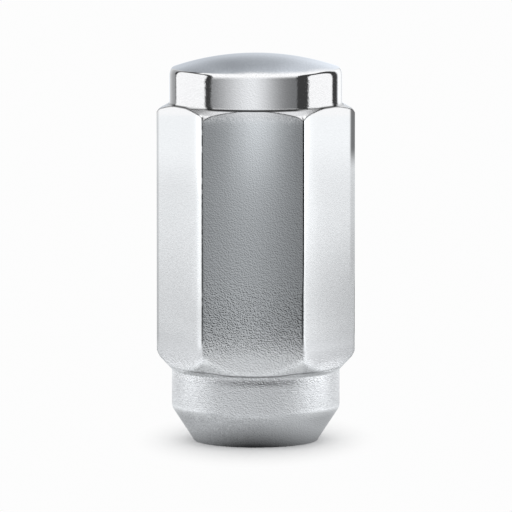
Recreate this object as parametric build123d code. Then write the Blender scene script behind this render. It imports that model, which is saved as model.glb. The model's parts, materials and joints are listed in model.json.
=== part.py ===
from build123d import *
import math
import os

# A closed-end lug nut with a conical seat, formed and turned in one piece of steel.
# The origin is the centre of the foot, where the seat ends. +Z runs up the axis to the domed crown.
# Two of the six flats face -Y and +Y, and two of the six corners lie on the X axis.
# All sizes are in millimetres and all angles in degrees.

# Thread of the stud that the nut runs on
thread_diameter = 12.0
thread_pitch = 1.5

# Foot and conical seat
foot_wall = 1.5
foot_rounding = 0.2
seat_included_angle = 66.3
seat_edge_rounding = 1.0

# Round collar between the seat and the hexagon
collar_step = 0.3
collar_length = 4.59
collar_fillet = 0.35

# Hexagon
hex_across_flats = 21.0
hex_length = 32.44
hex_edge_rounding = 0.55
lower_chamfer_angle = 43.3
lower_chamfer_rounding = 1.9
shoulder_angle = 61.5
shoulder_rounding = 1.1

# Round crown with a shallow dome
crown_step = 0.04
crown_height = 6.0
crown_fillet = 0.35
dome_radius = 31.3
rim_rounding = 1.34

# Blind hole, drilled from the foot to take the thread
minor_diameter_factor = 1.0825
mouth_relief = 0.3
mouth_included_angle = 90.0
drill_point_angle = 118.0
end_wall = 9.5

# Radii that follow from the sizes above
flat_radius = hex_across_flats / 2
corner_radius = hex_across_flats / math.sqrt(3)
foot_radius = thread_diameter / 2 + foot_wall
collar_radius = flat_radius - collar_step
crown_radius = flat_radius - crown_step
bore_radius = (thread_diameter - minor_diameter_factor * thread_pitch) / 2
mouth_radius = thread_diameter / 2 + mouth_relief

# Heights that follow, from the foot up
seat_top = (collar_radius - foot_radius) / math.tan(math.radians(seat_included_angle / 2))
hex_base = seat_top + collar_length
chamfer_top = hex_base + (corner_radius - collar_radius) / math.tan(math.radians(lower_chamfer_angle))
crown_base = hex_base + hex_length
shoulder_base = crown_base - (corner_radius - crown_radius) / math.tan(math.radians(shoulder_angle))
apex = crown_base + crown_height
crown_rim = apex - dome_radius + math.sqrt(dome_radius**2 - crown_radius**2)
mouth_depth = (mouth_radius - bore_radius) / math.tan(math.radians(mouth_included_angle / 2))
bore_tip = apex - end_wall
bore_end = bore_tip - bore_radius / math.tan(math.radians(drill_point_angle / 2))


def rounded(profile, roundings):
    """Round the profile's corners; roundings lists each corner's place and its radius."""
    for (radial, height), radius in roundings:
        corner = profile.vertices().sort_by_distance((radial, 0, height))[0]
        profile = fillet(corner, radius)
    return profile


def outer_profile():
    """The half section that the outside would have if the blank stayed round, from foot to dome."""
    foot_corner = (foot_radius, 0)
    seat_corner = (collar_radius, seat_top)
    collar_corner = (collar_radius, hex_base)
    chamfer_corner = (corner_radius, chamfer_top)
    shoulder_corner = (corner_radius, shoulder_base)
    crown_corner = (crown_radius, crown_base)
    rim_corner = (crown_radius, crown_rim)
    lower = Polyline((0, 0), foot_corner, seat_corner, collar_corner, chamfer_corner)
    upper = Polyline(chamfer_corner, shoulder_corner, crown_corner, rim_corner)
    dome = ThreePointArc(rim_corner, dome_middle(), (0, apex))
    axis = Line((0, apex), (0, 0))
    section = Plane.XZ * make_face([*lower.edges(), *upper.edges(), dome, axis])
    return rounded(
        section,
        [
            (foot_corner, foot_rounding),
            (seat_corner, seat_edge_rounding),
            (collar_corner, collar_fillet),
            (chamfer_corner, lower_chamfer_rounding),
            (shoulder_corner, shoulder_rounding),
            (crown_corner, crown_fillet),
            (rim_corner, rim_rounding),
        ],
    )


def dome_middle():
    """Half-way point of the dome's arc, whose centre lies on the axis."""
    sweep = math.asin(crown_radius / dome_radius)
    radial = dome_radius * math.sin(sweep / 2)
    return radial, apex - dome_radius + dome_radius * math.cos(sweep / 2)


def hexagon():
    """The hexagonal bar, as tall as the nut, with rounded edges; two of its corners lie on the X axis."""
    section = RegularPolygon(corner_radius, 6)
    section = fillet(section.vertices(), hex_edge_rounding)
    return extrude(section, apex)


def bore():
    """What the drill and the countersink take away: a blind hole with a conical end and an open mouth."""
    section = Polyline(
        (0, 0),
        (mouth_radius, 0),
        (bore_radius, mouth_depth),
        (bore_radius, bore_end),
        (0, bore_tip),
        close=True,
    )
    return revolve(Plane.XZ * make_face(section.edges()), Axis.Z)


def lug_nut():
    """The round blank cut to the hexagon, then drilled."""
    blank = revolve(outer_profile(), Axis.Z)
    nut = (blank & hexagon()) - bore()
    nut.label = "lug_nut"
    return nut


os.makedirs("parts", exist_ok=True)
export_step(lug_nut(), "parts/lug_nut.step")
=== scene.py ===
"""Closed-end lug nut: its plated steel body with the thread inside, and a small studio to see it in."""

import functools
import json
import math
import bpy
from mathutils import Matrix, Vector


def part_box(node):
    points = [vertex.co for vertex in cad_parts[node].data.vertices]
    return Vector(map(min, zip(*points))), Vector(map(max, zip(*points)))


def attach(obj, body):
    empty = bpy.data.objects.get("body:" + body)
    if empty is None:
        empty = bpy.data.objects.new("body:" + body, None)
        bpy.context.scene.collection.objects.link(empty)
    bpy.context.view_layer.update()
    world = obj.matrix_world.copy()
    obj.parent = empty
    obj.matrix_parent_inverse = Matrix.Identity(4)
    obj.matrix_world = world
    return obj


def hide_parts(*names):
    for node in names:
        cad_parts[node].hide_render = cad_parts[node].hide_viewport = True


bl_info = {
    "name": "Closed-end lug nut",
    "version": (1, 0, 0),
    "blender": (4, 5, 0),
    "location": "3D View > Sidebar > Lug nut",
    "description": "Builds a plated lug nut with a conical seat round its packed frame, and a studio for it",
    "category": "Add Mesh",
}

from collections import namedtuple

import bmesh
import bpy
from bmesh.types import BMEdge, BMVert
from bpy.props import FloatProperty, FloatVectorProperty, IntProperty, PointerProperty
from mathutils import Vector

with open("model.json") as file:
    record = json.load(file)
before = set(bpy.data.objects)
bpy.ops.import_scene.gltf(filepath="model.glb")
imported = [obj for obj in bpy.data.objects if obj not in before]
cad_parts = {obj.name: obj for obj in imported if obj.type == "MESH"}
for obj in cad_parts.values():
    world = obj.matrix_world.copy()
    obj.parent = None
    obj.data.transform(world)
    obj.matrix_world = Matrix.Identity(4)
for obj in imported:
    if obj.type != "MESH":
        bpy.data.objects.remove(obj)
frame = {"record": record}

MM = 0.001
NODE = "lug_nut"
NUT_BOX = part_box(NODE)
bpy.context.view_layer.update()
THREAD = next(m for m in frame["record"]["mounts"] if m["name"] == "thread")
UP = Vector((0, 0, 1))

# How near points count as one, in metres, and how finely round shapes are cut
MERGE_DISTANCE = 1e-7
CUT_DISTANCE = 1e-8
CUTS_PER_ROUNDING = 7
ROUND_STEPS = 96
SHARP_FROM = math.radians(28)

# Where the painted highlights and painted shade on the plating lie, in mm above the foot
SEAT_EDGE = 4.08
PAINTED_DARK_PATCH = 8.12
GROOVE_LINE = 8.93
CORNER_SPOT = 10.2
FLAT_TOP = 41.0
CROWN_LINE = 41.17
CROWN_FOOT = 41.6
# The painted highlight strips beside the front flat, in mm from the middle
LEFT_HIGHLIGHT = -6.45
RIGHT_HIGHLIGHT = 6.17
# The most that the painted highlights lighten the plating, and the black that hangs in the light tent
PALEST = 1.34
BLACK = 0.05

# Tints of the table, the cards and the panels as the metal shows them, all faintly blue
TABLE_TINT = (0.97, 1.0, 1.02)
CARD_TINT = (0.985, 1.0, 1.015)
BACK_PANEL_TINT = (0.99, 1.0, 1.01)
BACK_WALL_TINT = (0.94, 1.0, 1.08)
LOW_FRONT_TINT = (0.955, 1.0, 1.03)
LOW_SIDE_TINT = (0.98, 1.0, 1.01)
LOWEST_TINT = (0.98, 1.0, 1.02)

# A panel in the light tent, in degrees: its middle, its top, half its width, its corners and its soft edge
Panel = namedtuple("Panel", "centre top half_width corner softness")
# What hangs on one side; the back panel changes from its near tone to its far tone
Side = namedtuple("Side", "sign frame back near_tone far_tone wall wall_tone")
SIDES = (
    Side(
        sign=-1.0,
        frame=Panel(centre=112.3, top=47.5, half_width=57.3, corner=34.0, softness=2.0),
        back=Panel(centre=145.5, top=32.4, half_width=20.6, corner=8.0, softness=4.6),
        near_tone=0.428,
        far_tone=0.916,
        wall=Panel(centre=93.6, top=37.0, half_width=29.2, corner=18.1, softness=1.5),
        wall_tone=1.235,
    ),
    Side(
        sign=1.0,
        frame=Panel(centre=108.3, top=43.0, half_width=54.3, corner=30.0, softness=1.5),
        back=Panel(centre=147.8, top=30.8, half_width=13.5, corner=7.9, softness=4.5),
        near_tone=1.357,
        far_tone=1.016,
        wall=Panel(centre=93.9, top=29.5, half_width=23.2, corner=19.0, softness=2.0),
        wall_tone=1.24,
    ),
)
BACK_WALL = Panel(centre=-177.0, top=48.6, half_width=19.4, corner=14.7, softness=2.4)
FRAME_TONE = 0.06
PANEL_REACH = 40.0


def length(name, default, description):
    """A size in metres."""
    return FloatProperty(
        name=name, description=description, default=default, subtype="DISTANCE", unit="LENGTH"
    )


def angle(name, degrees, description):
    """An angle, given here in degrees."""
    return FloatProperty(name=name, description=description, default=math.radians(degrees), subtype="ANGLE")


def share(name, default, description):
    """A number from 0 to 1."""
    return FloatProperty(
        name=name, description=description, default=default, min=0, max=1, subtype="FACTOR"
    )


def number(name, default, description):
    """A plain number above 0."""
    return FloatProperty(name=name, description=description, default=default, min=0)


def colour(name, default, description):
    """A linear colour."""
    return FloatVectorProperty(
        name=name, description=description, default=default, min=0, max=1, subtype="COLOR"
    )


class NutSizes(bpy.types.PropertyGroup):
    """Sizes of the nut, the same as the solid's."""

    overall_height: length("Overall height", 47.164 * MM, "Foot to the top of the dome")
    across_flats: length("Across flats", NUT_BOX[1].y - NUT_BOX[0].y, "Width of the hexagon over two flats")
    edge_rounding: length("Edge rounding", 0.55 * MM, "Radius of the hexagon's upright edges")
    flat_crowning: length("Flat crowning", 0.02 * MM, "How far each flat falls back at its edges")
    foot_diameter: length("Foot diameter", 15.0 * MM, "Small end of the conical seat")
    foot_rounding: length("Foot rounding", 0.2 * MM, "Radius round the foot")
    seat_angle: angle("Seat angle", 66.3, "Included angle of the conical seat")
    seat_edge_rounding: length("Seat edge rounding", 1.0 * MM, "Radius between the seat and the collar")
    collar_diameter: length("Collar diameter", 20.4 * MM, "Round collar over the seat")
    collar_length: length("Collar length", 4.59 * MM, "Seat to hexagon")
    collar_fillet: length("Collar fillet", 0.35 * MM, "Inside radius where the collar meets the hexagon")
    chamfer_angle: angle("Lower chamfer", 43.3, "Chamfer under the hexagon, from the axis")
    chamfer_rounding: length("Chamfer rounding", 1.9 * MM, "Radius between the lower chamfer and the corners")
    hex_length: length("Hexagon length", 32.44 * MM, "Collar to crown")
    shoulder_angle: angle("Shoulder", 61.5, "Chamfer over the hexagon, from the axis")
    shoulder_rounding: length("Shoulder rounding", 1.1 * MM, "Radius between the shoulder and the corners")
    crown_diameter: length("Crown diameter", 20.92 * MM, "Round crown over the hexagon")
    crown_fillet: length("Crown fillet", 0.35 * MM, "Inside radius at the foot of the crown")
    dome_radius: length("Dome radius", 31.3 * MM, "Radius of the shallow dome")
    rim_rounding: length("Rim rounding", 1.34 * MM, "Radius between the dome and the crown's side")
    round_steps: IntProperty(name="Round steps", description="Facets round the axis", default=240, min=24)


class ThreadSizes(bpy.types.PropertyGroup):
    """Sizes of the blind, threaded hole."""

    major_diameter: length("Major diameter", 12.0 * MM, "Outer diameter of the stud's thread")
    minor_diameter: length("Minor diameter", 2 * THREAD["dims"]["r_mm"] * MM, "Drilled diameter")
    drilled_length: length("Drilled length", THREAD["dims"]["length_mm"] * MM, "Straight wall of the hole")
    pitch: length("Pitch", 1.5 * MM, "Thread pitch")
    threaded_depth: length("Threaded depth", 27.0 * MM, "Full thread, from the foot")
    run_out: length("Run-out", 3.0 * MM, "Length over which the tap's cut fades")
    mouth_diameter: length("Mouth diameter", 12.6 * MM, "Countersink at the foot")
    drill_point: angle("Drill point", 118, "Included angle of the hole's blind end")
    round_steps: IntProperty(name="Round steps", description="Facets in each turn", default=72, min=24)


class NutFinish(bpy.types.PropertyGroup):
    """Colour and grain of the plating."""

    plate_colour: colour("Plating", (0.742, 0.745, 0.755), "Colour of the bright plating")
    bore_colour: colour("Bore", (0.42, 0.42, 0.43), "Colour of the thinner plating inside the hole")
    crown_roughness: share("Crown roughness", 0.06, "Roughness of the polished crown")
    shoulder_roughness: share("Shoulder roughness", 0.25, "Roughness of the shoulder under the crown")
    flat_roughness: share("Flat roughness", 0.12, "Roughness of the hexagon's flats")
    seat_roughness: share("Seat roughness", 0.3, "Roughness of the collar and the seat")
    grain_count: number("Grain", 9600, "Flecks of grain in a metre")
    grain_stretch: share("Grain stretch", 0.68, "Width of a fleck for its length")
    grain_slant: angle("Grain slant", 54, "How far the flecks lean over")
    grain_contrast: number("Grain contrast", 14.5, "How strongly the flecks show in the colour")


class Studio(bpy.types.PropertyGroup):
    """Camera, floor and light tent."""

    camera_distance: length("Camera distance", 1000 * MM, "Camera to the middle of the nut")
    camera_elevation: angle("Camera elevation", 6.55, "How far the camera looks down")
    camera_turn: angle("Camera turn", 1.6, "How far the camera stands round from the flat that faces it")
    frame_width: length("Frame width", 62.22 * MM, "Width of the picture at the nut's axis")
    aim_height: length("Aim height", 22.47 * MM, "Height on the nut's axis that the camera looks at")
    aim_aside: length("Aim aside", 0.03 * MM, "How far right of the axis the camera looks")
    backdrop: colour("Backdrop", (0.98, 0.98, 0.98), "Colour of the background")
    tent_radius: length("Tent radius", 60 * MM, "Radius of the light tent that the metal reflects")
    tent_height: length("Tent height", 43 * MM, "Height at which the tent's wall rounds over into its top")
    tent_skirt: length("Tent skirt", 30 * MM, "How far the tent's wall hangs below the floor")
    floor_radius: length("Floor radius", 48 * MM, "Radius of the round table")
    shadow_half_width: length("Shadow half width", 11.7 * MM, "How far the shadow shows to each side")
    shadow_half_depth: length("Shadow half depth", 20.5 * MM, "How far the shadow shows to the front")


def corner_rounding(bm, vert, radius, segments):
    """Round one corner of a wire to that radius."""
    before, after = [edge.other_vert(vert).co - vert.co for edge in vert.link_edges]
    turn = math.pi - before.angle(after)
    setback = radius * math.tan(turn / 2)
    bmesh.ops.bevel(
        bm,
        geom=[vert],
        offset=setback,
        offset_type="OFFSET",
        segments=segments,
        profile=0.5,
        affect="VERTICES",
        material=-1,
        clamp_overlap=False,
    )


def only(kind, elements):
    """Those of the elements that are of one kind, vertices or edges."""
    return [element for element in elements if isinstance(element, kind)]


def arc(bm, start, centre, sweep, steps):
    """Draw an arc in the XZ plane from a vertex round a centre, and return its last vertex."""
    ret = bmesh.ops.spin(
        bm,
        geom=[start],
        cent=(centre[0], 0, centre[1]),
        axis=(0, 1, 0),
        angle=sweep,
        steps=steps,
        use_merge=False,
    )
    return only(BMVert, ret["geom_last"])[0]


def run(bm, start, points):
    """Draw straight edges in the XZ plane from a vertex through the points, and return their vertices."""
    verts = []
    for x, z in points:
        vert = bm.verts.new((x, 0, z))
        bm.edges.new((start, vert))
        verts.append(vert)
        start = vert
    return verts


def outer_heights(sizes):
    """Heights of the outside's corners, from the foot up."""
    heights = {}
    collar = sizes.collar_diameter / 2
    corner = sizes.across_flats / math.sqrt(3)
    crown = sizes.crown_diameter / 2
    heights["seat"] = (collar - sizes.foot_diameter / 2) / math.tan(sizes.seat_angle / 2)
    heights["hex"] = heights["seat"] + sizes.collar_length
    heights["chamfer"] = heights["hex"] + (corner - collar) / math.tan(sizes.chamfer_angle)
    heights["crown"] = heights["hex"] + sizes.hex_length
    heights["shoulder"] = heights["crown"] - (corner - crown) / math.tan(sizes.shoulder_angle)
    dome_centre = sizes.overall_height - sizes.dome_radius
    heights["rim"] = dome_centre + math.sqrt(sizes.dome_radius**2 - crown**2)
    return heights


def draw_outer_profile(bm, sizes, mouth_radius):
    """Draw the half section of the turned blank, from the mouth round the outside to the top of the dome."""
    at = outer_heights(sizes)
    collar = sizes.collar_diameter / 2
    corner = sizes.across_flats / math.sqrt(3)
    crown = sizes.crown_diameter / 2
    mouth = bm.verts.new((mouth_radius, 0, 0))
    foot, seat, step, chamfer, shoulder, crown_foot, rim = run(
        bm,
        mouth,
        [
            (sizes.foot_diameter / 2, 0),
            (collar, at["seat"]),
            (collar, at["hex"]),
            (corner, at["chamfer"]),
            (corner, at["shoulder"]),
            (crown, at["crown"]),
            (crown, at["rim"]),
        ],
    )
    dome_sweep = math.asin(crown / sizes.dome_radius)
    arc(bm, rim, (0, sizes.overall_height - sizes.dome_radius), -dome_sweep, 24)
    for vert, radius, segments in (
        (foot, sizes.foot_rounding, 4),
        (seat, sizes.seat_edge_rounding, 6),
        (step, sizes.collar_fillet, 4),
        (chamfer, sizes.chamfer_rounding, 10),
        (shoulder, sizes.shoulder_rounding, 8),
        (crown_foot, sizes.crown_fillet, 6),
        (rim, sizes.rim_rounding, 12),
    ):
        corner_rounding(bm, vert, radius, segments)


def cut_plane(bm, turn, reach):
    """Cut the blank back to an upright plane at that turn and reach from the axis, and close the cut."""
    normal = Vector((math.cos(turn), math.sin(turn), 0))
    whole = bm.verts[:] + bm.edges[:] + bm.faces[:]
    cut = bmesh.ops.bisect_plane(
        bm,
        geom=whole,
        dist=CUT_DISTANCE,
        plane_co=normal * reach,
        plane_no=normal,
        clear_outer=True,
    )
    bmesh.ops.holes_fill(bm, edges=only(BMEdge, cut["geom_cut"]), sides=0)


def tangent_cuts(bm, turn, centre_reach, radius, spread):
    """Round an upright face: cut it by planes that touch an upright cylinder of that radius."""
    for k in range(CUTS_PER_ROUNDING):
        lean = spread * (2 * k / (CUTS_PER_ROUNDING - 1) - 1)
        cut_plane(bm, turn + lean, centre_reach * math.cos(lean) + radius)


def cut_hexagon(bm, sizes):
    """Cut the turned blank to six slightly crowned flats with rounded edges between them."""
    slope = math.tan(math.radians(30))
    apothem = sizes.across_flats / 2
    half_flat = apothem * slope - sizes.edge_rounding * slope
    crowning_radius = half_flat**2 / (2 * sizes.flat_crowning)
    flat_spread = half_flat / crowning_radius
    edge_spread = math.radians(26)
    edge_centre = (apothem - sizes.edge_rounding) / math.cos(math.radians(30))
    for side in range(6):
        flat_turn = math.radians(60 * side + 30)
        tangent_cuts(bm, flat_turn, apothem - crowning_radius, crowning_radius, flat_spread)
        edge_turn = math.radians(60 * side)
        tangent_cuts(bm, edge_turn, edge_centre, sizes.edge_rounding, edge_spread)


def spin_round(bm, steps, merge_distance):
    """Spin the half section that was drawn once round the axis, and merge what meets."""
    bmesh.ops.spin(
        bm,
        geom=bm.verts[:] + bm.edges[:],
        cent=(0, 0, 0),
        axis=UP,
        angle=math.tau,
        steps=steps,
        use_merge=True,
    )
    bmesh.ops.remove_doubles(bm, verts=bm.verts, dist=merge_distance)


def draw_thread_profile(bm, thread, bottom):
    """Draw one pitch of the thread's section: crest, flank, root and flank."""
    minor = thread.minor_diameter / 2
    major = thread.major_diameter / 2
    crest = thread.pitch / 4
    flank = (major - minor) * math.tan(math.radians(30))
    root = thread.pitch - crest - 2 * flank
    start = bm.verts.new((minor, 0, bottom))
    run(
        bm,
        start,
        [
            (minor, bottom + crest),
            (major, bottom + crest + flank),
            (major, bottom + crest + flank + root),
            (minor, bottom + thread.pitch),
        ],
    )
    bmesh.ops.subdivide_edges(bm, edges=bm.edges[:], cuts=2)


def trim_thread(bm, thread):
    """Open the thread's first turn to the countersink and fade its last turns out to the drilled wall."""
    minor = thread.minor_diameter / 2
    mouth = thread.mouth_diameter / 2
    for vert in bm.verts:
        radius = Vector((vert.co.x, vert.co.y)).length
        depth = min(max((vert.co.z - thread.threaded_depth) / thread.run_out, 0), 1)
        kept = minor + (radius - minor) * (1 - depth)
        wanted = max(kept, mouth - vert.co.z)
        vert.co.x *= wanted / radius
        vert.co.y *= wanted / radius


def cut_level(bm, height, keep_above):
    """Cut the wall off level at that height and keep one side."""
    whole = bm.verts[:] + bm.edges[:] + bm.faces[:]
    bmesh.ops.bisect_plane(
        bm,
        geom=whole,
        dist=CUT_DISTANCE,
        plane_co=UP * height,
        plane_no=UP,
        clear_outer=not keep_above,
        clear_inner=keep_above,
    )


def open_loop(bm, height):
    """The edges of the open rim at that height."""
    rim = [e for e in bm.edges if e.is_boundary]
    return [e for e in rim if all(abs(v.co.z - height) < MERGE_DISTANCE for v in e.verts)]


def tapped_wall(thread):
    """The threaded wall of the hole, open at both ends: one turn of the thread, repeated at its pitch."""
    bm = bmesh.new()
    draw_thread_profile(bm, thread, -thread.pitch)
    top = thread.threaded_depth + thread.run_out
    bmesh.ops.spin(
        bm,
        geom=bm.verts[:] + bm.edges[:],
        cent=(0, 0, 0),
        axis=UP,
        dvec=UP * thread.pitch / thread.round_steps,
        angle=math.tau,
        steps=thread.round_steps,
        use_merge=False,
    )
    turn = bm.verts[:] + bm.edges[:] + bm.faces[:]
    for _ in range(math.ceil(top / thread.pitch)):
        turn = bmesh.ops.duplicate(bm, geom=turn)["geom"]
        bmesh.ops.translate(bm, verts=only(BMVert, turn), vec=UP * thread.pitch)
    bmesh.ops.remove_doubles(bm, verts=bm.verts, dist=2e-6)
    trim_thread(bm, thread)
    cut_level(bm, 0, True)
    cut_level(bm, top, False)
    return bm


def drill_end(bm, thread):
    """Carry the tapped wall on up the drilled hole and close it at the drill point."""
    top = thread.threaded_depth + thread.run_out
    mouth_depth = (thread.mouth_diameter - thread.minor_diameter) / 2
    wall_end = mouth_depth + thread.drilled_length
    point = thread.minor_diameter / 2 / math.tan(thread.drill_point / 2)
    rim = open_loop(bm, top)
    for rise, shrink in ((wall_end - top, 1), (point, 0)):
        grown = bmesh.ops.extrude_edge_only(bm, edges=rim)["geom"]
        verts = only(BMVert, grown)
        rim = only(BMEdge, grown)
        bmesh.ops.translate(bm, verts=verts, vec=UP * rise)
        bmesh.ops.scale(bm, verts=verts, vec=(shrink, shrink, 1))
    bmesh.ops.remove_doubles(bm, verts=verts, dist=MERGE_DISTANCE)


def join_inside(bm, thread):
    """Set the drilled and tapped hole into the nut and close the ring between them at the foot."""
    hole = tapped_wall(thread)
    drill_end(hole, thread)
    for face in hole.faces:
        face.material_index = 1
    mesh = bpy.data.meshes.new("hole")
    hole.to_mesh(mesh)
    hole.free()
    bm.from_mesh(mesh)
    bpy.data.meshes.remove(mesh)
    bmesh.ops.bridge_loops(bm, edges=open_loop(bm, 0))


def add_object(scene, name, bm):
    """Put a finished bmesh into the scene as an object of that name, and free it."""
    mesh = bpy.data.meshes.new(name)
    bm.to_mesh(mesh)
    bm.free()
    holder = bpy.data.objects.new(name, mesh)
    scene.collection.objects.link(holder)
    return holder


def mark_sharp(bm, limit):
    """Shade all faces smooth, apart from across edges that turn by more than the limit."""
    for face in bm.faces:
        face.smooth = True
    for edge in bm.edges:
        edge.smooth = len(edge.link_faces) == 2 and edge.calc_face_angle(0) < limit


class LUGNUT_OT_body(bpy.types.Operator):
    """Build the nut: turned, cut to a hexagon, drilled and tapped"""

    bl_idname = "lugnut.body"
    bl_label = "Nut body"

    def execute(self, context):
        scene = context.scene
        sizes, thread, finish = scene.lug_nut_sizes, scene.lug_nut_thread, scene.lug_nut_finish
        bm = bmesh.new()
        draw_outer_profile(bm, sizes, thread.mouth_diameter / 2)
        spin_round(bm, sizes.round_steps, MERGE_DISTANCE)
        cut_hexagon(bm, sizes)
        join_inside(bm, thread)
        bmesh.ops.recalc_face_normals(bm, faces=bm.faces)
        mark_sharp(bm, SHARP_FROM)
        body = add_object(scene, "nut_body", bm)
        body.data.materials.append(plated_steel(finish, grain_group()))
        body.data.materials.append(tapped_steel(finish))
        weighted = body.modifiers.new("Face-weighted normals", "WEIGHTED_NORMAL")
        weighted.keep_sharp = True
        weighted.weight = 100
        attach(body, "root")
        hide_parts(NODE)
        return {"FINISHED"}


class Graph:
    """Short ways to add and join shader nodes in one tree."""

    def __init__(self, tree):
        self.tree = tree

    def node(self, kind, label="", **settings):
        """Add a node with those settings."""
        node = self.tree.nodes.new(kind)
        node.label = label
        for name, value in settings.items():
            setattr(node, name, value)
        return node

    def feed(self, socket, value):
        """Link an output to a socket, or set the socket to a plain value."""
        if isinstance(value, bpy.types.NodeSocket):
            self.tree.links.new(value, socket)
        else:
            socket.default_value = value

    def math(self, operation, *values, label=""):
        """One math node on up to three values."""
        node = self.node("ShaderNodeMath", label, operation=operation)
        for socket, value in zip(node.inputs, values):
            self.feed(socket, value)
        return node.outputs[0]

    def ramp(self, value, start, end, low=0.0, high=1.0, label="", kind="SMOOTHSTEP"):
        """Carry a value from low at start to high at end, and keep it there beyond."""
        node = self.node("ShaderNodeMapRange", label, interpolation_type=kind)
        for socket, wanted in zip(node.inputs, (value, start, end, low, high)):
            self.feed(socket, wanted)
        return node.outputs["Result"]

    def hump(self, value, centre, width, power=2.0):
        """A smooth hump of height 1 round a centre; a higher power gives it steeper sides."""
        offset = self.math("ABSOLUTE", self.math("SUBTRACT", value, centre))
        sides = self.math("POWER", self.math("DIVIDE", offset, width), power)
        return self.math("EXPONENT", self.product(sides, -1.0))

    def product(self, *values):
        """Multiply all the values."""
        return functools.reduce(lambda first, second: self.math("MULTIPLY", first, second), values)

    def total(self, *values):
        """Add up all the values."""
        return functools.reduce(lambda first, second: self.math("ADD", first, second), values)

    def band(self, value, start, full, still_full, end):
        """1 from full to still_full, falling softly to 0 at start and at end."""
        return self.product(self.ramp(value, start, full), self.ramp(value, end, still_full))

    def blend(self, factor, first, second):
        """Mix two numbers."""
        return self.math("MULTIPLY_ADD", factor, self.math("SUBTRACT", second, first), first)

    def above(self, value, limit):
        """1 where the value is above the limit, or else 0."""
        return self.math("GREATER_THAN", value, limit)

    def mix(self, factor, first, second, label=""):
        """Mix two colours."""
        node = self.node("ShaderNodeMix", label, data_type="RGBA")
        wanted = {"Factor_Float": factor, "A_Color": first, "B_Color": second}
        for socket in node.inputs:
            if socket.identifier in wanted:
                self.feed(socket, wanted[socket.identifier])
        return next(o for o in node.outputs if o.identifier == "Result_Color")

    def vector(self, operation, *values, label=""):
        """One vector math node, which gives a vector, or a number where the operation does."""
        node = self.node("ShaderNodeVectorMath", label, operation=operation)
        for socket, value in zip(node.inputs, values):
            self.feed(socket, value)
        return node.outputs["Value" if operation in ("LENGTH", "DOT_PRODUCT") else "Vector"]

    def combine(self, x, y, z):
        """A vector from three numbers."""
        node = self.node("ShaderNodeCombineXYZ")
        for socket, value in zip(node.inputs, (x, y, z)):
            self.feed(socket, value)
        return node.outputs[0]

    def split(self, vector):
        """The three numbers of a vector."""
        node = self.node("ShaderNodeSeparateXYZ")
        self.feed(node.inputs[0], vector)
        return node.outputs

    def scaled(self, tint, factor):
        """A colour or a vector times a number."""
        node = self.node("ShaderNodeVectorMath", operation="SCALE")
        self.feed(node.inputs[0], tint)
        self.feed(node.inputs["Scale"], factor)
        return node.outputs[0]

    def bevel(self, radius, label):
        """The normal as it would be if edges had that radius."""
        node = self.node("ShaderNodeBevel", label, samples=8)
        self.feed(node.inputs["Radius"], radius)
        return node.outputs[0]

    def noise(self, label, place, scale, detail=2.0):
        """Noise in space, with that many swells in a metre."""
        node = self.node("ShaderNodeTexNoise", label, noise_dimensions="3D")
        for name, value in (("Vector", place), ("Scale", scale), ("Detail", detail)):
            self.feed(node.inputs[name], value)
        return node.outputs

    def glow(self, tint, label=""):
        """An emission shader of that colour."""
        node = self.node("ShaderNodeEmission", label)
        self.feed(node.inputs["Color"], tint)
        return node.outputs[0]

    def mix_shaders(self, factor, first, second):
        """Mix two shaders."""
        node = self.node("ShaderNodeMixShader")
        for socket, value in zip(node.inputs, (factor, first, second)):
            self.feed(socket, value)
        return node.outputs[0]

    def group(self, tree, **values):
        """Add a node group; the values are named like its inputs, with _ for a blank."""
        node = self.node("ShaderNodeGroup", tree.name, node_tree=tree)
        for name, value in values.items():
            self.feed(node.inputs[name.replace("_", " ")], value)
        return node.outputs


def new_group(name, inputs, outputs):
    """A shader node group; inputs and outputs give each socket's kind: Float, Color or Vector."""
    tree = bpy.data.node_groups.new(name, "ShaderNodeTree")
    for sockets, in_out in ((inputs, "INPUT"), (outputs, "OUTPUT")):
        for label, kind in sockets.items():
            tree.interface.new_socket(label, in_out=in_out, socket_type="NodeSocket" + kind)
    graph = Graph(tree)
    return tree, graph, graph.node("NodeGroupInput").outputs, graph.node("NodeGroupOutput").inputs


def plain_material(name):
    """A node material with a Principled shader."""
    material = bpy.data.materials.new(name)
    material.use_nodes = True
    return material, Graph(material.node_tree), material.node_tree.nodes["Principled BSDF"]


class Place:
    """Where a point of the nut's surface lies, as node outputs: x, y and level in mm, and how it faces."""

    def __init__(self, graph):
        self.point = graph.node("ShaderNodeTexCoord").outputs["Object"]
        self.normal = graph.node("ShaderNodeNewGeometry").outputs["Normal"]
        self.x, self.y, self.level = graph.split(graph.scaled(self.point, 1 / MM))
        _, across, self.upward = graph.split(self.normal)
        self.across = graph.math("ABSOLUTE", across, label="How squarely it faces the front or the back")
        self.squarely = graph.ramp(self.across, 0.6, 0.9, label="1 on the front and back flats")
        self.aside = graph.math("ABSOLUTE", self.x, label="Distance from the middle")


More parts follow.
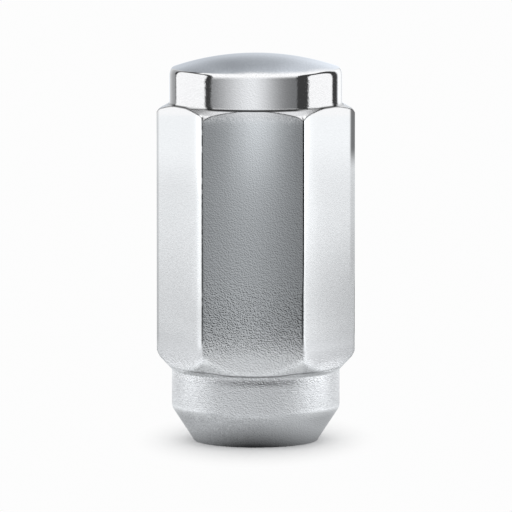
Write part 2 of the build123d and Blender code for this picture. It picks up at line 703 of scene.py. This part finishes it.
def grain_group():
    """Fine slanting flecks of the plating: a tilted normal, and a shade round 0 for the colour."""
    tree, graph, given, wanted = new_group(
        "Plating grain",
        {
            "Point": "Vector",
            "Normal": "Vector",
            "Tilt": "Float",
            "Count": "Float",
            "Stretch": "Float",
            "Slant": "Float",
        },
        {"Normal": "Vector", "Shade": "Float"},
    )
    turned = graph.node("ShaderNodeVectorRotate", rotation_type="Y_AXIS")
    graph.feed(turned.inputs["Vector"], given["Point"])
    graph.feed(turned.inputs["Angle"], given["Slant"])
    place = graph.vector("MULTIPLY", turned.outputs[0], graph.combine(1.0, 1.0, given["Stretch"]))
    step = graph.combine(graph.math("DIVIDE", 0.9, given["Count"]), 0.0, 0.0)
    beside = graph.vector("ADD", place, step, label="About one fleck further on")
    flecks = graph.noise("Flecks", place, given["Count"], detail=0.0)
    neighbours = graph.noise("The next flecks", beside, given["Count"], detail=0.0)
    lean = graph.vector("SUBTRACT", flecks["Color"], (0.5, 0.5, 0.5))
    tilted = graph.vector("ADD", given["Normal"], graph.scaled(lean, given["Tilt"]))
    graph.feed(wanted["Normal"], graph.vector("NORMALIZE", tilted))
    graph.feed(wanted["Shade"], graph.math("SUBTRACT", flecks["Fac"], neighbours["Fac"]))
    return tree


def painted_highlights(graph, at):
    """Painted highlights: how much paler the foot of the front flat and the strips by its upright edges are.
    """
    front = graph.ramp(at.aside, 6.1, 5.7)
    upper_foot = graph.ramp(at.level, 22.0, 14.5, 0.0, 0.12)
    lower_foot = graph.ramp(at.level, 14.5, 10.0, 0.0, 0.14)
    corners = graph.product(graph.ramp(at.level, 12.9, 11.6, 0.0, 0.1), graph.ramp(at.aside, 4.6, 5.7))
    foot = graph.product(graph.total(lower_foot, upper_foot, corners), front)
    left, right = graph.hump(at.x, LEFT_HIGHLIGHT, 0.34), graph.hump(at.x, RIGHT_HIGHLIGHT, 0.07, 4.0)
    beside = graph.product(graph.math("MAXIMUM", left, right), graph.band(at.level, 11.5, 13.0, 40.4, 40.8))
    strips = graph.product(beside, 0.34)
    return graph.product(graph.total(foot, strips), graph.ramp(at.level, 8.9, 9.2))


def painted_glints(graph, at):
    """Painted highlights: how much brighter the seat's edge is, and the spots where the hexagon's edges end
    over the collar.
    """
    corners = graph.product(graph.hump(at.aside, 6.2, 0.9, 4.0), graph.hump(at.level, CORNER_SPOT, 0.7, 4.0))
    seat_edge = graph.product(graph.hump(at.level, SEAT_EDGE, 0.45), graph.ramp(at.aside, 4.5, 7.0))
    return graph.total(graph.product(corners, 0.24), graph.product(seat_edge, 0.3))


def painted_dark_ends(graph, at):
    """Painted shade: how much darker the feet of the side flats and the top of the front flat are."""
    foot = graph.ramp(at.level, 15.0, 12.5, 0.0, 0.12)
    right_chamfer = graph.product(graph.ramp(at.level, 12.2, 11.2, 0.0, 0.1), graph.ramp(at.x, 6.4, 7.2))
    sides = graph.product(graph.ramp(at.level, 9.6, 10.6), graph.ramp(at.aside, 6.0, 6.6))
    top = graph.product(graph.band(at.level, 39.9, 40.6, 40.9, FLAT_TOP), graph.above(at.across, 0.9))
    top = graph.product(top, graph.ramp(at.aside, 0.5, 4.5, 0.13, 0.42))
    return graph.total(graph.product(graph.total(foot, right_chamfer), sides), top)


def painted_dark_outline(graph, at):
    """The painted dark reflections down the outermost edges of the hexagon, as a share from 0 to 1."""
    left = graph.product(graph.ramp(at.x, -11.65, -11.9), graph.ramp(at.level, 11.0, 13.0, 0.0, 0.3))
    right = graph.product(graph.ramp(at.x, 11.35, 11.65), graph.ramp(at.level, 33.0, 36.0, 0.22, 0.84))
    return graph.total(left, graph.product(right, graph.ramp(at.level, 18.0, 24.0)))


def painted_groove_shade(graph, at, shade):
    """The painted shade line in the groove over the collar and the grained patch of painted dark reflection
    under it, from 0 to 1.
    """
    bed = graph.math("SUBTRACT", at.level, graph.ramp(at.aside, 2.4, 5.4, 0.05, 0.3), label="The line sags")
    line = graph.product(graph.hump(bed, GROOVE_LINE, 0.1), graph.ramp(at.aside, 5.5, 8.5, 0.62, 0.3))
    patch = graph.product(graph.hump(at.level, PAINTED_DARK_PATCH, 0.4, 2.4), graph.hump(at.x, 0.8, 4.8, 3.0))
    patch = graph.product(patch, graph.math("MULTIPLY_ADD", shade, -1.2, 0.48))
    return graph.math("MAXIMUM", line, patch)


def painted_edge_lines(graph, at):
    """Thin broken lines of painted shade on the hexagon's edges and a whole one in the crease at the crown's
    foot, from 0 to 1.
    """
    on_right = graph.above(at.x, 0.0)
    shift = graph.blend(on_right, 1.15, graph.ramp(at.level, 22.0, 18.0, 0.0, 0.6))
    turn = graph.math("DEGREES", graph.math("ARCTAN2", at.y, at.x))
    off_edge = graph.math("PINGPONG", graph.total(turn, shift), 30.0, label="Degrees from the nearest edge")
    width = graph.blend(on_right, 1.6, 1.0)
    upright = graph.ramp(graph.math("DIVIDE", off_edge, width), 0.42, 0.26, 0.0, 0.9)
    upright = graph.product(upright, graph.band(at.level, 12.6, 13.4, 40.2, 40.6))
    # Random breaks in the painted shade lines
    line_breaks = graph.noise("Breaks in the lines", at.point, 1400.0)["Fac"]
    kept = graph.ramp(line_breaks, 0.36, 0.5, 0.65, 1.0)
    lines = graph.product(graph.math("MAXIMUM", arc_lines(graph, at), upright), kept)
    middle = graph.ramp(at.aside, 6.4, 5.0, 0.35, 0.97)
    over_flats = graph.ramp(off_edge, 16.0, 22.0, 0.35, 0.9)
    depth = graph.math("MAXIMUM", middle, over_flats)
    crown_foot = graph.product(graph.hump(at.level, CROWN_LINE, 0.14, 4.0), depth)
    return graph.math("MAXIMUM", lines, crown_foot)


def arc_lines(graph, at):
    """The painted dark lines along the arcs over the flats: wherever a small bevel would turn the surface."""
    rounded = graph.bevel(0.22 * MM, "Edges of the flats")
    arcs = graph.ramp(graph.vector("DOT_PRODUCT", rounded, at.normal), 0.995, 0.97, 0.0, 0.95)
    return graph.product(arcs, graph.band(at.level, 37.0, 38.0, 41.1, 41.2))


def grain_depth(graph, at):
    """How much the grain shows in the colour: most at the foot of the front and back flats."""
    upper = graph.ramp(at.level, FLAT_TOP, 23.0, 0.022, 0.09, kind="LINEAR")
    upper = graph.product(upper, graph.blend(at.squarely, 0.4, 1.0))
    foot = graph.product(graph.ramp(at.level, 23.0, 14.0, 0.0, 0.17), at.squarely)
    flats = graph.product(graph.total(upper, foot), graph.ramp(at.level, 10.5, 13.5, 0.45, 1.0))
    seat = graph.ramp(at.level, 2.0, 6.5, 0.045, 0.085)
    rest = graph.product(seat, graph.ramp(at.level, FLAT_TOP, CROWN_FOOT, 1.0, 0.25))
    return graph.blend(graph.band(at.level, 9.5, 12.5, FLAT_TOP, CROWN_FOOT), rest, flats)


def grain_tilt(graph, at):
    """How far the grain tilts the surface: more towards the foot, and little on the side flats."""
    tilt = graph.ramp(at.level, 30.0, 14.0, 0.012, 0.04)
    kept = graph.math("MAXIMUM", graph.blend(at.squarely, 0.3, 1.0), graph.ramp(at.level, 12.5, 9.5))
    return graph.total(graph.product(tilt, kept), graph.ramp(at.level, FLAT_TOP, CROWN_FOOT, 0.0, 0.035))


def crease_radius(graph, at):
    """Radius of the soft edges: wide round the hexagon's base and at the crown's foot."""
    base = graph.band(at.level, 8.9, 9.3, 12.0, 14.5)
    neck = graph.band(at.level, 41.1, 41.3, 42.0, 42.8)
    return graph.blend(neck, graph.blend(base, 0.06 * MM, 1.1 * MM), 0.9 * MM)


def plating_tone(graph, at, shade, contrast):
    """The grain and all the painted highlights and painted shade together, as a factor on the plating's
    colour.
    """
    tone = graph.math("MINIMUM", graph.total(painted_highlights(graph, at), 1.0), PALEST)
    tone = graph.math("SUBTRACT", graph.total(tone, painted_glints(graph, at)), painted_dark_ends(graph, at))
    for mark in (painted_dark_outline(graph, at), painted_groove_shade(graph, at, shade), painted_edge_lines(graph, at)):
        tone = graph.product(tone, graph.math("SUBTRACT", 1.0, mark))
    grain = graph.product(shade, grain_depth(graph, at), contrast)
    return graph.product(tone, graph.total(grain, 1.0))


def plating_roughness(graph, at, finish):
    """Roughness: least on the crown, most on the seat, and dull on the shoulder between crown and flats."""
    roughness = graph.ramp(at.level, 14.0, 6.0, finish.flat_roughness, finish.seat_roughness)
    crown = graph.ramp(at.level, 30.0, 36.0, 0.0, finish.crown_roughness - finish.flat_roughness)
    shoulder = graph.product(graph.band(at.level, 39.0, 39.3, 41.1, 41.2), graph.above(at.upward, 0.3))
    return graph.blend(shoulder, graph.total(roughness, crown), finish.shoulder_roughness)


def plated_steel(finish, grain):
    """Bright plating: polished at the crown, finely grained and duller towards the foot, with painted
    highlights and painted shade in its colour.
    """
    material, graph, shader = plain_material("plated_steel")
    at = Place(graph)
    made = graph.group(
        grain,
        Point=at.point,
        Normal=graph.bevel(crease_radius(graph, at), "Soft edges"),
        Tilt=grain_tilt(graph, at),
        Count=finish.grain_count,
        Stretch=finish.grain_stretch,
        Slant=finish.grain_slant,
    )
    tone = plating_tone(graph, at, made["Shade"], finish.grain_contrast)
    graph.feed(shader.inputs["Base Color"], graph.scaled(finish.plate_colour, tone))
    graph.feed(shader.inputs["Metallic"], 1.0)
    graph.feed(shader.inputs["Roughness"], plating_roughness(graph, at, finish))
    graph.feed(shader.inputs["Normal"], made["Normal"])
    return material


def tapped_steel(finish):
    """The thinner, duller plating inside the hole."""
    material, graph, shader = plain_material("tapped_steel")
    graph.feed(shader.inputs["Base Color"], (*finish.bore_colour, 1))
    graph.feed(shader.inputs["Metallic"], 1.0)
    graph.feed(shader.inputs["Roughness"], finish.seat_roughness)
    return material


class LUGNUT_OT_studio(bpy.types.Operator):
    """Set up the floor, the light tent, the room and the camera"""

    bl_idname = "lugnut.studio"
    bl_label = "Studio"

    def execute(self, context):
        scene = context.scene
        for add in (add_camera, add_floor, add_tent, light_room):
            add(scene, scene.lug_nut_studio)
        scene.view_settings.view_transform = "Standard"
        return {"FINISHED"}


def add_camera(scene, studio):
    """Aim a long lens at the middle of the nut."""
    camera = bpy.data.cameras.new("camera")
    camera.sensor_width = 36
    camera.lens = camera.sensor_width * studio.camera_distance / studio.frame_width
    camera.clip_start = 0.01
    camera.clip_end = 10
    holder = bpy.data.objects.new("camera", camera)
    scene.collection.objects.link(holder)
    turn = studio.camera_turn
    rise = studio.camera_elevation
    away = Vector((math.sin(turn) * math.cos(rise), -math.cos(turn) * math.cos(rise), math.sin(rise)))
    aim = Vector((studio.aim_aside, 0, studio.aim_height))
    holder.location = aim + away * studio.camera_distance
    holder.rotation_mode = "QUATERNION"
    holder.rotation_quaternion = (-away).to_track_quat("-Z", "Y")
    scene.camera = holder


def add_floor(scene, studio):
    """A plain pale table under the nut, which fades into the white background; the metal sees a painted
    reflection of it instead.
    """
    bm = bmesh.new()
    bmesh.ops.create_circle(bm, cap_ends=True, segments=ROUND_STEPS, radius=studio.floor_radius)
    floor = add_object(scene, "floor", bm)
    material, graph, shader = plain_material("floor")
    graph.feed(shader.inputs["Base Color"], grey(0.96))
    graph.feed(shader.inputs["Roughness"], 1.0)
    graph.feed(shader.inputs["Specular IOR Level"], 0.0)
    place = graph.node("ShaderNodeTexCoord").outputs["Object"]
    widths = (1 / studio.shadow_half_width, 1 / studio.shadow_half_depth, 0)
    reach = graph.vector("LENGTH", graph.vector("MULTIPLY", place, widths), label="In shadow widths")
    backdrop = graph.glow((*studio.backdrop, 1), "Same white as the background")
    # Glossy rays see a painted reflection of the table, with a painted shadow under the seat
    mirrored = graph.glow(painted_floor_reflection(graph, place), "The table as the metal shows it")
    rays = graph.node("ShaderNodeLightPath").outputs
    faded = graph.product(graph.ramp(reach, 0.5, 1.3), rays["Is Camera Ray"])
    table = graph.mix_shaders(faded, shader.outputs[0], backdrop)
    seen = graph.mix_shaders(rays["Is Glossy Ray"], table, mirrored)
    graph.feed(material.node_tree.nodes["Material Output"].inputs["Surface"], seen)
    floor.data.materials.append(material)


def painted_floor_reflection(graph, place):
    """The table as the metal shows it, painted: a painted shadow dark under the seat, paler outwards, and
    paler sooner at the sides.
    """
    reach = graph.math("DIVIDE", graph.vector("LENGTH", place), MM)
    side = graph.math("DIVIDE", graph.math("DIVIDE", graph.split(place)["X"], MM), reach)
    squared = graph.product(side, side)
    reach = graph.math("MULTIPLY_ADD", squared, 2.4, reach)
    near_tone = graph.math("MULTIPLY_ADD", squared, -0.2, 0.7)
    near = graph.ramp(reach, 7.6, 11.9, 0.02, near_tone, kind="LINEAR")
    far = graph.product(graph.ramp(reach, 14.0, 32.0), graph.math("MULTIPLY_ADD", squared, 0.45, 0.08))
    return graph.scaled(TABLE_TINT, graph.total(near, far))


def panel_group():
    """Distance in degrees from the edge of a round-cornered panel, below 0 inside it."""
    direction = ("Azimuth", "Elevation")
    shape = ("Centre azimuth", "Centre elevation", "Half width", "Half height", "Corner")
    inputs = dict.fromkeys(direction + shape, "Float")
    tree, graph, given, wanted = new_group("Round panel", inputs, {"Distance": "Float"})
    beyond = []
    for place, centre, half in (
        ("Azimuth", "Centre azimuth", "Half width"),
        ("Elevation", "Centre elevation", "Half height"),
    ):
        offset = graph.math("ABSOLUTE", graph.math("SUBTRACT", given[place], given[centre]))
        straight = graph.math("SUBTRACT", given[half], given["Corner"])
        beyond.append(graph.math("SUBTRACT", offset, straight))
    squares = []
    for value in beyond:
        outside = graph.math("MAXIMUM", value, 0.0)
        squares.append(graph.product(outside, outside))
    reach = graph.math("SQRT", graph.total(*squares))
    depth = graph.math("MINIMUM", graph.math("MAXIMUM", beyond[0], beyond[1]), 0.0)
    distance = graph.math("SUBTRACT", graph.total(reach, depth), given["Corner"])
    graph.feed(wanted["Distance"], distance)
    return tree


def grey(value):
    """A plain grey, for a colour socket."""
    return (value, value, value, 1)


def hang(graph, panel, shade, azimuth, elevation, size, tone):
    """Lay a soft-edged panel over what hangs there; return the new picture and the distance from its edge."""
    distance = graph.group(
        panel,
        Azimuth=azimuth,
        Elevation=elevation,
        Centre_azimuth=size.centre,
        Centre_elevation=size.top - PANEL_REACH,
        Half_width=size.half_width,
        Half_height=PANEL_REACH,
        Corner=size.corner,
    )["Distance"]
    return graph.mix(graph.ramp(distance, size.softness, -size.softness), shade, tone), distance


def front_card(graph, azimuth, elevation):
    """The grey card in front, lit in its middle, and the white top that it pales into."""
    lit_at = -3.4
    left = graph.math("MULTIPLY_ADD", graph.hump(azimuth, lit_at, 43.1, 1.74), 0.97, 0.086)
    right = graph.math("MULTIPLY_ADD", graph.hump(azimuth, lit_at, 29.1, 1.95), 0.863, 0.197)
    card = graph.blend(graph.above(azimuth, lit_at), left, right)
    aside = graph.math("SUBTRACT", azimuth, 6.7)
    bend = graph.blend(graph.above(aside, 0.0), 0.0029, 0.00126)
    level = graph.math("MULTIPLY_ADD", graph.product(aside, aside), bend, elevation)
    pale = graph.ramp(level, 17.9, 46.0, label="The card pales towards the top")
    return graph.mix(pale, graph.scaled(CARD_TINT, card), grey(1.3))


def side_panels(graph, panel, shade, azimuth, elevation):
    """On each side a white wall panel in a black frame, and a paler back panel inside the frame's far end."""
    for side in SIDES:
        turned = graph.product(azimuth, side.sign)
        outer = graph.product(graph.ramp(turned, 150.0, 164.0), graph.ramp(elevation, 12.0, 2.0))
        inward = graph.ramp(turned, 130.0, 165.0, side.near_tone, side.far_tone)
        back_tone = graph.scaled(BACK_PANEL_TINT, graph.math("MULTIPLY_ADD", outer, -0.22, inward))
        for size, tone in (
            (side.frame, grey(FRAME_TONE)),
            (side.back, back_tone),
            (side.wall, grey(side.wall_tone)),
        ):
            shade, distance = hang(graph, panel, shade, turned, elevation, size, tone)
        if side.sign < 0:
            line = graph.product(graph.band(distance, 0.0, 1.5, 6.0, 8.0), graph.ramp(elevation, 3.0, 9.0))
            shade = graph.mix(line, shade, grey(BLACK), label="Black line round the left wall panel")
    return shade


def back_wall(graph, panel, shade, azimuth, elevation):
    """The bluish wall behind, which the dome shows: lighter to the right and at both ends."""
    around = graph.math("SUBTRACT", azimuth, graph.product(graph.above(azimuth, 0.0), 360.0))
    below = graph.math("MAXIMUM", graph.math("DIVIDE", graph.math("SUBTRACT", 32.0, elevation), 30.0), 0.0)
    tone = graph.total(
        graph.math("MULTIPLY_ADD", graph.math("POWER", below, 1.6), 0.53, 0.47, label="Lighter downwards"),
        graph.ramp(elevation, 37.0, 48.0, 0.0, 0.12),
        graph.product(graph.math("SUBTRACT", BACK_WALL.centre, around), 0.0094),
        graph.ramp(around, -172.0, -162.0, 0.0, 0.15),
        graph.ramp(around, -183.0, -193.0, 0.0, 0.14),
        graph.ramp(elevation, 16.0, 4.0, 0.0, -0.2),
    )
    return hang(graph, panel, shade, around, elevation, BACK_WALL, graph.scaled(BACK_WALL_TINT, tone))[0]


def low_front(graph, azimuth, elevation):
    """What the front flat and its rounded edges show: a lit strip on grey, with black on both sides."""
    descent = graph.ramp(elevation, -9.0, -25.0, kind="LINEAR")
    centre = graph.blend(descent, -0.85, -1.9)
    width = graph.blend(descent, 3.6, 4.9)
    brightness = graph.math("MULTIPLY_ADD", graph.hump(elevation, -5.0, 9.0), 0.42, 0.175)
    strip = graph.product(graph.hump(azimuth, centre, width), brightness)
    card = graph.ramp(azimuth, -8.0, 5.5, 0.32, 0.24, kind="LINEAR")
    on_card = graph.band(azimuth, -64.0, -60.0, 48.0, 52.0)
    right = graph.product(graph.ramp(azimuth, 46.0, 52.0), graph.ramp(elevation, -21.0, -26.0, 0.0, 0.4))
    beside = graph.total(right, BLACK)
    return graph.scaled(LOW_FRONT_TINT, graph.blend(on_card, beside, graph.total(strip, card)))


def low_sides(graph, azimuth, elevation):
    """What the side flats show: white that greys downwards, and a paler part by the front's edges."""
    on_right = graph.above(azimuth, 0.0)
    left = graph.total(
        graph.ramp(elevation, -12.0, -16.5, 1.18, 1.03),
        graph.ramp(elevation, -19.0, -29.0, 0.0, -0.16),
    )
    beside = graph.math("MINIMUM", graph.math("SUBTRACT", azimuth, 110.5), 9.0)
    right = graph.total(
        graph.ramp(elevation, -10.0, -17.5, 1.225, 1.03),
        graph.ramp(elevation, -19.0, -28.0, 0.0, -0.235),
        graph.product(beside, graph.ramp(elevation, -16.0, -27.0, 0.0, -0.03)),
    )
    dullest = graph.blend(on_right, -30.0, -28.0)
    whitest = graph.blend(on_right, -26.0, -17.0)
    by_edges = graph.product(
        graph.band(azimuth, -111.0, -109.9, 106.6, 107.8),
        graph.ramp(elevation, dullest, whitest, 0.35, 1.0),
    )
    return graph.scaled(LOW_SIDE_TINT, graph.blend(by_edges, graph.blend(on_right, left, right), 1.5))


def lowest(graph, azimuth):
    """What the collar shows: a grey front between brighter sides."""
    aside = graph.math("ABSOLUTE", azimuth)
    tone = graph.total(
        graph.ramp(aside, 44.0, 78.0, 0.8, 1.42),
        graph.ramp(aside, 98.0, 122.0, 0.0, -0.5),
        graph.ramp(aside, 128.0, 145.0, 0.0, 0.08),
    )
    return graph.scaled(LOWEST_TINT, tone)


def tent_pattern():
    """What hangs in the light tent, by direction in degrees: 0 is the front, and the right is above 0."""
    inputs = {"Azimuth": "Float", "Elevation": "Float"}
    tree, graph, given, wanted = new_group("Tent pattern", inputs, {"Color": "Color"})
    azimuth, elevation = given["Azimuth"], given["Elevation"]
    panel = panel_group()
    shade = front_card(graph, azimuth, elevation)
    shade = side_panels(graph, panel, shade, azimuth, elevation)
    shade = back_wall(graph, panel, shade, azimuth, elevation)
    front = graph.band(azimuth, -109.6, -107.6, 88.0, 92.0)
    low = graph.mix(front, low_sides(graph, azimuth, elevation), low_front(graph, azimuth, elevation))
    low = graph.mix(graph.ramp(elevation, -29.5, -34.5), low, lowest(graph, azimuth))
    brink = graph.math("MULTIPLY_ADD", graph.hump(azimuth, 0.0, 30.0, 4.0), -0.6, elevation)
    shade = graph.mix(graph.ramp(brink, -7.6, -7.9), shade, low)
    graph.feed(wanted["Color"], shade)
    return tree


def add_tent(scene, studio):
    """A light tent round the nut, seen only in reflections."""
    bm = bmesh.new()
    radius, height = studio.tent_radius, studio.tent_height
    bottom = bm.verts.new((radius, 0, -studio.tent_skirt))
    (rim,) = run(bm, bottom, [(radius, height)])
    arc(bm, rim, (0, height), -math.pi / 2, ROUND_STEPS // 4)
    spin_round(bm, ROUND_STEPS, 1e-6)
    for face in bm.faces:
        face.smooth = True
    tent = add_object(scene, "tent", bm)
    tent.data.materials.append(tent_light(height))
    tent.visible_camera = False
    tent.visible_diffuse = False
    tent.visible_transmission = False
    tent.visible_shadow = False


def tent_light(height):
    """The tent's glow: its pattern by direction from the axis, at the height where its top begins."""
    material = bpy.data.materials.new("tent")
    material.use_nodes = True
    material.node_tree.nodes.clear()
    material.cycles.emission_sampling = "NONE"
    graph = Graph(material.node_tree)
    x, y, z = graph.split(graph.node("ShaderNodeTexCoord").outputs["Object"])
    azimuth = graph.math("DEGREES", graph.math("ARCTAN2", x, graph.product(y, -1.0)))
    reach = graph.math("SQRT", graph.total(graph.product(x, x), graph.product(y, y)))
    elevation = graph.math("DEGREES", graph.math("ARCTAN2", graph.math("SUBTRACT", z, height), reach))
    pattern = graph.group(tent_pattern(), Azimuth=azimuth, Elevation=elevation)["Color"]
    out = graph.node("ShaderNodeOutputMaterial")
    graph.feed(out.inputs["Surface"], graph.glow(pattern))
    return material


def light_room(scene, studio):
    """An even white room, which lights the table and leaves the nut's soft shadow on it."""
    world = bpy.data.worlds.new("room")
    world.use_nodes = True
    sky = world.node_tree.nodes["Background"]
    sky.inputs["Color"].default_value = (*studio.backdrop, 1)
    world.cycles.sampling_method = "NONE"
    scene.world = world


class LUGNUT_PT_panel(bpy.types.Panel):
    """Lists the steps"""

    bl_label = "Lug nut"
    bl_idname = "LUGNUT_PT_panel"
    bl_space_type = "VIEW_3D"
    bl_region_type = "UI"
    bl_category = "Lug nut"

    def draw(self, context):
        self.layout.operator(LUGNUT_OT_body.bl_idname)
        self.layout.operator(LUGNUT_OT_studio.bl_idname)
        for name in SETTINGS:
            group = getattr(context.scene, name)
            box = self.layout.box()
            for field in group.__annotations__:
                box.prop(group, field)


# The groups of settings, by the names under which they hang on the scene
SETTINGS = {
    "lug_nut_sizes": NutSizes,
    "lug_nut_thread": ThreadSizes,
    "lug_nut_finish": NutFinish,
    "lug_nut_studio": Studio,
}
CLASSES = (*SETTINGS.values(), LUGNUT_OT_body, LUGNUT_OT_studio, LUGNUT_PT_panel)


def register():
    """Register the classes and hang their settings on the scene."""
    for cls in CLASSES:
        bpy.utils.register_class(cls)
    for name, group in SETTINGS.items():
        setattr(bpy.types.Scene, name, PointerProperty(type=group))


def unregister():
    """Take the settings and the classes away again."""
    for name in SETTINGS:
        delattr(bpy.types.Scene, name)
    for cls in reversed(CLASSES):
        bpy.utils.unregister_class(cls)


def main():
    """Build everything in order."""
    register()
    bpy.ops.lugnut.body()
    bpy.ops.lugnut.studio()


if __name__ == "__main__":
    main()
